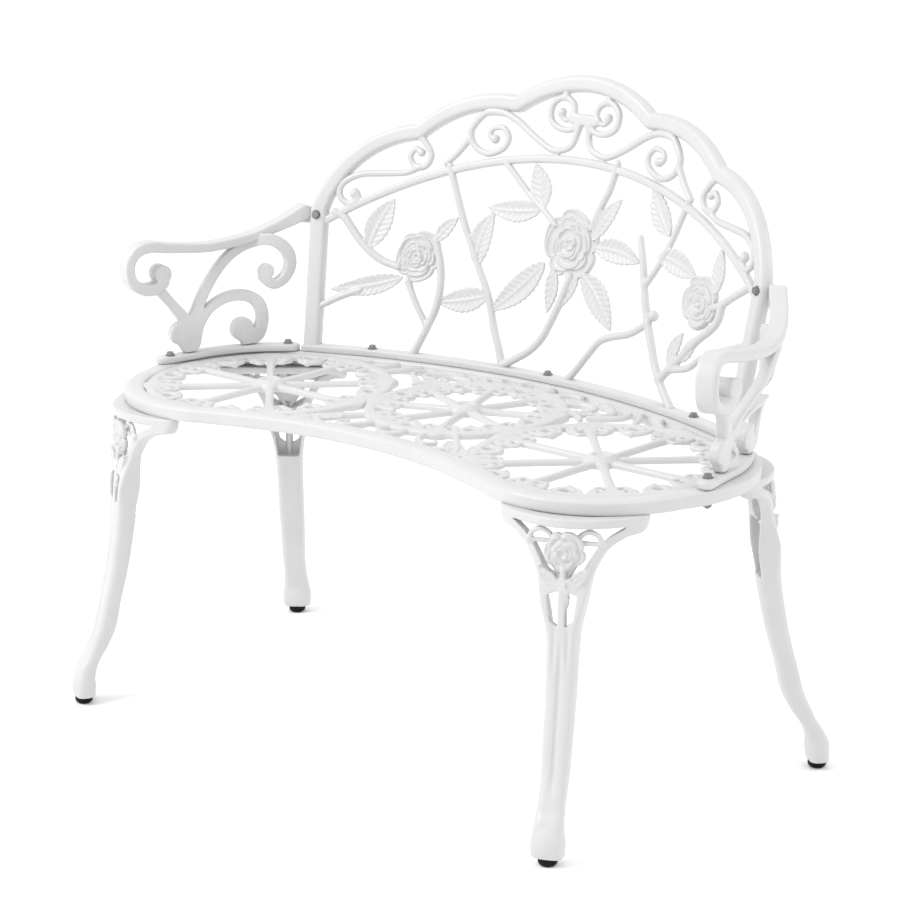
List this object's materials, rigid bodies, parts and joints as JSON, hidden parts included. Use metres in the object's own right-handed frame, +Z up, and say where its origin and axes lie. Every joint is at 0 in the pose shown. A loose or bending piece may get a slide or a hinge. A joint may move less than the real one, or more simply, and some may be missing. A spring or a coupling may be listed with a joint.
{
  "type": "garden bench",
  "caption": "Two-seat cast garden bench with a kidney-shaped openwork seat, a bowed leaning back of roses and vines, scroll arms and cabriole legs on levelling glides.",
  "frame": {"origin": "on the floor, in the middle of the bench's footprint", "axes": "+X to the right as seen from the front, +Y towards the back, +Z up; the sitter faces -Y"},
  "size_m": [1.0238, 0.6046, 0.83],
  "materials": {
    "white_paint": "satin white powder coat over cast metal",
    "plated_steel": "dull zinc plate",
    "black_plastic": "moulded"
  },
  "bodies": {
    "bench": {"seat": "white_paint", "back": "white_paint", "arm_left": "white_paint", "arm_right": "white_paint", "leg_front_left": "white_paint", "leg_rear_left": "white_paint", "leg_front_right": "white_paint", "leg_rear_right": "white_paint", "rail_bolts": "plated_steel", "rail_washers": "plated_steel", "rail_nuts": "plated_steel", "arm_front_left_bolts": "plated_steel", "arm_front_left_washers": "plated_steel", "arm_front_left_nuts": "plated_steel", "leg_bolts_front_left": "plated_steel", "leg_washers_front_left": "plated_steel", "arm_rear_left_bolts": "plated_steel", "arm_rear_left_washers": "plated_steel", "arm_rear_left_nuts": "plated_steel", "leg_bolts_rear_left": "plated_steel", "leg_washers_rear_left": "plated_steel", "post_left_bolts": "plated_steel", "post_left_washers": "plated_steel", "post_left_nuts": "plated_steel", "arm_front_right_bolts": "plated_steel", "arm_front_right_washers": "plated_steel", "arm_front_right_nuts": "plated_steel", "leg_bolts_front_right": "plated_steel", "leg_washers_front_right": "plated_steel", "arm_rear_right_bolts": "plated_steel", "arm_rear_right_washers": "plated_steel", "arm_rear_right_nuts": "plated_steel", "leg_bolts_rear_right": "plated_steel", "leg_washers_rear_right": "plated_steel", "post_right_bolts": "plated_steel", "post_right_washers": "plated_steel", "post_right_nuts": "plated_steel"},
    "glide_front_left": {"glide_pad_front_left": "black_plastic", "glide_stud_front_left": "plated_steel"},
    "glide_rear_left": {"glide_pad_rear_left": "black_plastic", "glide_stud_rear_left": "plated_steel"},
    "glide_front_right": {"glide_pad_front_right": "black_plastic", "glide_stud_front_right": "plated_steel"},
    "glide_rear_right": {"glide_pad_rear_right": "black_plastic", "glide_stud_rear_right": "plated_steel"}
  },
  "joints": [
    {"name": "glide_front_left_screw", "type": "slide", "parent": "bench", "child": "glide_front_left", "axis": [0, 0, -1], "range_m": [0, 0.008]},
    {"name": "glide_rear_left_screw", "type": "slide", "parent": "bench", "child": "glide_rear_left", "axis": [0, 0, -1], "range_m": [0, 0.008]},
    {"name": "glide_front_right_screw", "type": "slide", "parent": "bench", "child": "glide_front_right", "axis": [0, 0, -1], "range_m": [0, 0.008]},
    {"name": "glide_rear_right_screw", "type": "slide", "parent": "bench", "child": "glide_rear_right", "axis": [0, 0, -1], "range_m": [0, 0.008]}
  ]
}
